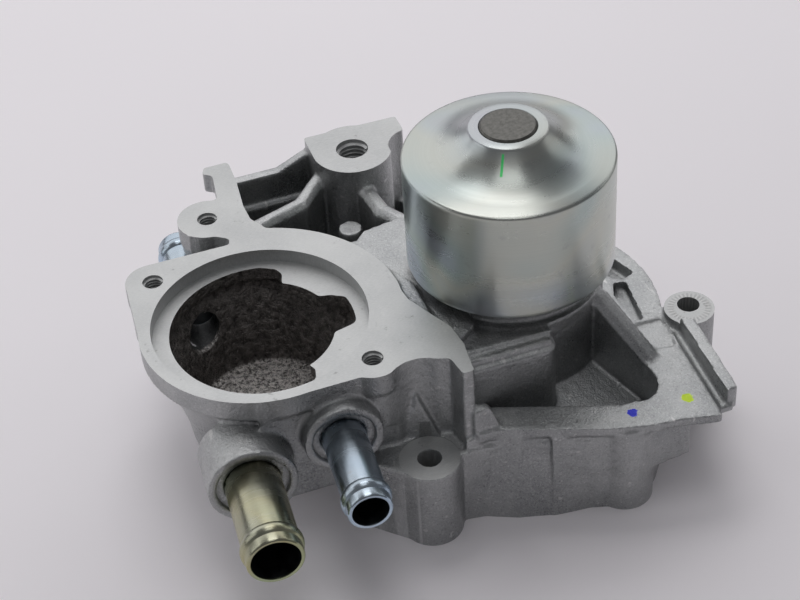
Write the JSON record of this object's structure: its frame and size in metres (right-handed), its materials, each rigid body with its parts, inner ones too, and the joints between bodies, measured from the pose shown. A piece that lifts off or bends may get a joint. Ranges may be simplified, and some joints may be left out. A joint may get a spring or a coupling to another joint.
{
  "type": "water pump",
  "caption": "Engine coolant pump: die-cast housing with thermostat chamber, plain belt pulley on a bearing shaft, face seal, impeller and beaded hose pipes.",
  "frame": {"origin": "where the shaft axis meets the plane of the mounting face", "axes": "+Z along the shaft towards the pulley; +X from the thermostat chamber towards the lug; +Y towards the bracket with the large tapped hole"},
  "size_m": [0.1647, 0.16, 0.1],
  "materials": {
    "cast_aluminium": "die cast, with milled faces",
    "zinc_steel": "turned and zinc plated",
    "shaft_steel": "ground, dull end face",
    "bearing_steel": "ground",
    "cage_nylon": "moulded",
    "seal_rubber": "moulded",
    "seal_brass": "pressed",
    "spring_steel": "drawn wire",
    "carbon": "lapped carbon",
    "ceramic_ring": "lapped",
    "impeller_steel": "pressed",
    "yellow_zinc": "yellow zinc plated",
    "blue_zinc": "blue zinc plated"
  },
  "bodies": {
    "root": {"pump_housing": "cast_aluminium", "bearing_outer_ring": "bearing_steel", "front_bearing_seal": "seal_rubber", "rear_bearing_seal": "seal_rubber", "seal_cup": "seal_brass", "seal_bellows": "seal_rubber", "seal_spring": "spring_steel", "seal_ferrule": "seal_brass", "carbon_ring": "carbon", "large_hose_pipe": "yellow_zinc", "small_hose_pipe": "blue_zinc", "rear_hose_pipe": "blue_zinc"},
    "rotor": {"pulley": "zinc_steel", "bearing_shaft": "shaft_steel", "seal_sleeve": "seal_brass", "mating_ring_cup": "seal_rubber", "mating_ring": "ceramic_ring", "impeller_hub": "shaft_steel", "impeller": "impeller_steel"},
    "ball_set": {"bearing_balls": "bearing_steel", "ball_cage": "cage_nylon"},
    "roller_set": {"bearing_rollers": "bearing_steel", "roller_cage": "cage_nylon"}
  },
  "joints": [
    {"name": "shaft_spin", "type": "hinge", "parent": "root", "child": "rotor", "pos_m": [0, 0, 0.06], "axis": [0, 0, 1], "continuous": true},
    {"name": "ball_orbit", "type": "hinge", "parent": "root", "child": "ball_set", "pos_m": [0, 0, 0.07], "axis": [0, 0, 1], "continuous": true},
    {"name": "roller_orbit", "type": "hinge", "parent": "root", "child": "roller_set", "pos_m": [0, 0, 0.051], "axis": [0, 0, 1], "continuous": true}
  ],
  "couplings": [
    {"joint": "ball_orbit", "follows": "shaft_spin", "ratio": 0.3652},
    {"joint": "roller_orbit", "follows": "shaft_spin", "ratio": 0.3946}
  ]
}
